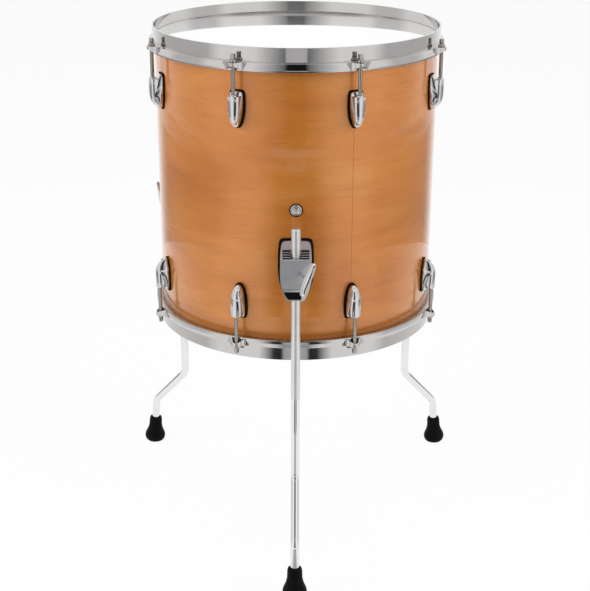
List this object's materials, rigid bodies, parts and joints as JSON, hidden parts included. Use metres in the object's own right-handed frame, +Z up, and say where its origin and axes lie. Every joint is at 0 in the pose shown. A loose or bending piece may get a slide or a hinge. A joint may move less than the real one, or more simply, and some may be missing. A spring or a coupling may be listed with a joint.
{
  "type": "floor tom",
  "caption": "Floor-standing tom drum: lacquered maple shell with two heads, cast hoops, turning tension rods and lugs, on bent legs that slide in clamp brackets with wing bolts.",
  "frame": {"origin": "on the floor, under the middle of the overall box; the drum's axis is 55 mm towards +Y from it, because the front foot reaches further than the rear two", "axes": "+Z up along the drum's axis, +Y from the front leg to the back, +X to the right seen from the front"},
  "size_m": [0.5272, 0.5366, 0.761],
  "materials": {
    "maple": "honey-stained maple under clear gloss lacquer",
    "chrome": "bright polished chrome plate",
    "rod_steel": "chrome-plated steel",
    "lug_chrome": "chrome plate on die casting, with a black gasket below",
    "leg_chrome": "chrome-plated steel tube",
    "bracket_chrome": "dull chrome plate on die casting",
    "alloy": "plain satin aluminium",
    "white_film": "smooth white polyester film",
    "clear_film": "clear polyester film",
    "gasket_rubber": "matt black moulding",
    "foot_rubber": "matt black rubber"
  },
  "bodies": {
    "drum": {"shell": "maple", "air_vent": "chrome", "batter_head": "white_film", "batter_head_rim": "alloy", "batter_hoop": "chrome", "batter_lug_1": "lug_chrome", "batter_lug_2": "lug_chrome", "batter_lug_3": "lug_chrome", "batter_lug_4": "lug_chrome", "batter_lug_5": "lug_chrome", "batter_lug_6": "lug_chrome", "batter_lug_7": "lug_chrome", "batter_lug_8": "lug_chrome", "resonant_head": "clear_film", "resonant_head_rim": "alloy", "resonant_hoop": "chrome", "resonant_lug_1": "lug_chrome", "resonant_lug_2": "lug_chrome", "resonant_lug_3": "lug_chrome", "resonant_lug_4": "lug_chrome", "resonant_lug_5": "lug_chrome", "resonant_lug_6": "lug_chrome", "resonant_lug_7": "lug_chrome", "resonant_lug_8": "lug_chrome", "front_bracket": "bracket_chrome", "front_bracket_gasket": "gasket_rubber", "right_bracket": "bracket_chrome", "right_bracket_gasket": "gasket_rubber", "left_bracket": "bracket_chrome", "left_bracket_gasket": "gasket_rubber"},
    "front_leg": {"front_leg": "leg_chrome", "front_foot": "foot_rubber"},
    "right_leg": {"right_leg": "leg_chrome", "right_foot": "foot_rubber"},
    "left_leg": {"left_leg": "leg_chrome", "left_foot": "foot_rubber"},
    "front_wing_bolt": {"front_wing_bolt": "chrome"},
    "right_wing_bolt": {"right_wing_bolt": "chrome"},
    "left_wing_bolt": {"left_wing_bolt": "chrome"},
    "front_clamp_shoe": {"front_clamp_shoe": "alloy"},
    "right_clamp_shoe": {"right_clamp_shoe": "alloy"},
    "left_clamp_shoe": {"left_clamp_shoe": "alloy"},
    "batter_rod_1": {"batter_rod_1": "rod_steel"},
    "batter_rod_2": {"batter_rod_2": "rod_steel"},
    "batter_rod_3": {"batter_rod_3": "rod_steel"},
    "batter_rod_4": {"batter_rod_4": "rod_steel"},
    "batter_rod_5": {"batter_rod_5": "rod_steel"},
    "batter_rod_6": {"batter_rod_6": "rod_steel"},
    "batter_rod_7": {"batter_rod_7": "rod_steel"},
    "batter_rod_8": {"batter_rod_8": "rod_steel"},
    "resonant_rod_1": {"resonant_rod_1": "rod_steel"},
    "resonant_rod_2": {"resonant_rod_2": "rod_steel"},
    "resonant_rod_3": {"resonant_rod_3": "rod_steel"},
    "resonant_rod_4": {"resonant_rod_4": "rod_steel"},
    "resonant_rod_5": {"resonant_rod_5": "rod_steel"},
    "resonant_rod_6": {"resonant_rod_6": "rod_steel"},
    "resonant_rod_7": {"resonant_rod_7": "rod_steel"},
    "resonant_rod_8": {"resonant_rod_8": "rod_steel"}
  },
  "joints": [
    {"name": "front_leg_slide", "type": "slide", "parent": "drum", "child": "front_leg", "axis": [0, 0, 1], "range_m": [-0.05, 0.2]},
    {"name": "right_leg_slide", "type": "slide", "parent": "drum", "child": "right_leg", "axis": [0, 0, 1], "range_m": [-0.05, 0.2]},
    {"name": "left_leg_slide", "type": "slide", "parent": "drum", "child": "left_leg", "axis": [0, 0, 1], "range_m": [-0.05, 0.2]},
    {"name": "front_wing_turn", "type": "hinge", "parent": "drum", "child": "front_wing_bolt", "pos_m": [0, -0.17547, 0.4635], "axis": [0.454, -0.891, 0], "range_deg": [0, 504]},
    {"name": "right_wing_turn", "type": "hinge", "parent": "drum", "child": "right_wing_bolt", "pos_m": [0.18577, 0.19229, 0.4635], "axis": [0.4478, 0.8942, 0], "range_deg": [0, 504]},
    {"name": "left_wing_turn", "type": "hinge", "parent": "drum", "child": "left_wing_bolt", "pos_m": [-0.18577, 0.19229, 0.4635], "axis": [-0.9866, 0.1633, 0], "range_deg": [0, 504]},
    {"name": "front_shoe_slide", "type": "slide", "parent": "drum", "child": "front_clamp_shoe", "axis": [0.454, -0.891, 0], "range_m": [0, 0.0018]},
    {"name": "right_shoe_slide", "type": "slide", "parent": "drum", "child": "right_clamp_shoe", "axis": [0.4478, 0.8942, 0], "range_m": [0, 0.0018]},
    {"name": "left_shoe_slide", "type": "slide", "parent": "drum", "child": "left_clamp_shoe", "axis": [-0.9866, 0.1633, 0], "range_m": [0, 0.0018]},
    {"name": "batter_rod_1_turn", "type": "hinge", "parent": "drum", "child": "batter_rod_1", "pos_m": [0.08304, -0.14516, 0.72], "axis": [0, 0, 1], "continuous": true},
    {"name": "batter_rod_2_turn", "type": "hinge", "parent": "drum", "child": "batter_rod_2", "pos_m": [0.20048, -0.02772, 0.72], "axis": [0, 0, 1], "continuous": true},
    {"name": "batter_rod_3_turn", "type": "hinge", "parent": "drum", "child": "batter_rod_3", "pos_m": [0.20048, 0.13837, 0.72], "axis": [0, 0, 1], "continuous": true},
    {"name": "batter_rod_4_turn", "type": "hinge", "parent": "drum", "child": "batter_rod_4", "pos_m": [0.08304, 0.25581, 0.72], "axis": [0, 0, 1], "continuous": true},
    {"name": "batter_rod_5_turn", "type": "hinge", "parent": "drum", "child": "batter_rod_5", "pos_m": [-0.08304, 0.25581, 0.72], "axis": [0, 0, 1], "continuous": true},
    {"name": "batter_rod_6_turn", "type": "hinge", "parent": "drum", "child": "batter_rod_6", "pos_m": [-0.20048, 0.13837, 0.72], "axis": [0, 0, 1], "continuous": true},
    {"name": "batter_rod_7_turn", "type": "hinge", "parent": "drum", "child": "batter_rod_7", "pos_m": [-0.20048, -0.02772, 0.72], "axis": [0, 0, 1], "continuous": true},
    {"name": "batter_rod_8_turn", "type": "hinge", "parent": "drum", "child": "batter_rod_8", "pos_m": [-0.08304, -0.14516, 0.72], "axis": [0, 0, 1], "continuous": true},
    {"name": "resonant_rod_1_turn", "type": "hinge", "parent": "drum", "child": "resonant_rod_1", "pos_m": [-0.08304, -0.14516, 0.36], "axis": [0, 0, 1], "continuous": true},
    {"name": "resonant_rod_2_turn", "type": "hinge", "parent": "drum", "child": "resonant_rod_2", "pos_m": [-0.20048, -0.02772, 0.36], "axis": [0, 0, 1], "continuous": true},
    {"name": "resonant_rod_3_turn", "type": "hinge", "parent": "drum", "child": "resonant_rod_3", "pos_m": [-0.20048, 0.13837, 0.36], "axis": [0, 0, 1], "continuous": true},
    {"name": "resonant_rod_4_turn", "type": "hinge", "parent": "drum", "child": "resonant_rod_4", "pos_m": [-0.08304, 0.25581, 0.36], "axis": [0, 0, 1], "continuous": true},
    {"name": "resonant_rod_5_turn", "type": "hinge", "parent": "drum", "child": "resonant_rod_5", "pos_m": [0.08304, 0.25581, 0.36], "axis": [0, 0, 1], "continuous": true},
    {"name": "resonant_rod_6_turn", "type": "hinge", "parent": "drum", "child": "resonant_rod_6", "pos_m": [0.20048, 0.13837, 0.36], "axis": [0, 0, 1], "continuous": true},
    {"name": "resonant_rod_7_turn", "type": "hinge", "parent": "drum", "child": "resonant_rod_7", "pos_m": [0.20048, -0.02772, 0.36], "axis": [0, 0, 1], "continuous": true},
    {"name": "resonant_rod_8_turn", "type": "hinge", "parent": "drum", "child": "resonant_rod_8", "pos_m": [0.08304, -0.14516, 0.36], "axis": [0, 0, 1], "continuous": true}
  ],
  "couplings": [
    {"joint": "front_shoe_slide", "follows": "front_wing_turn", "m_per_rad": 0.00019894},
    {"joint": "right_shoe_slide", "follows": "right_wing_turn", "m_per_rad": 0.00019894},
    {"joint": "left_shoe_slide", "follows": "left_wing_turn", "m_per_rad": 0.00019894}
  ]
}
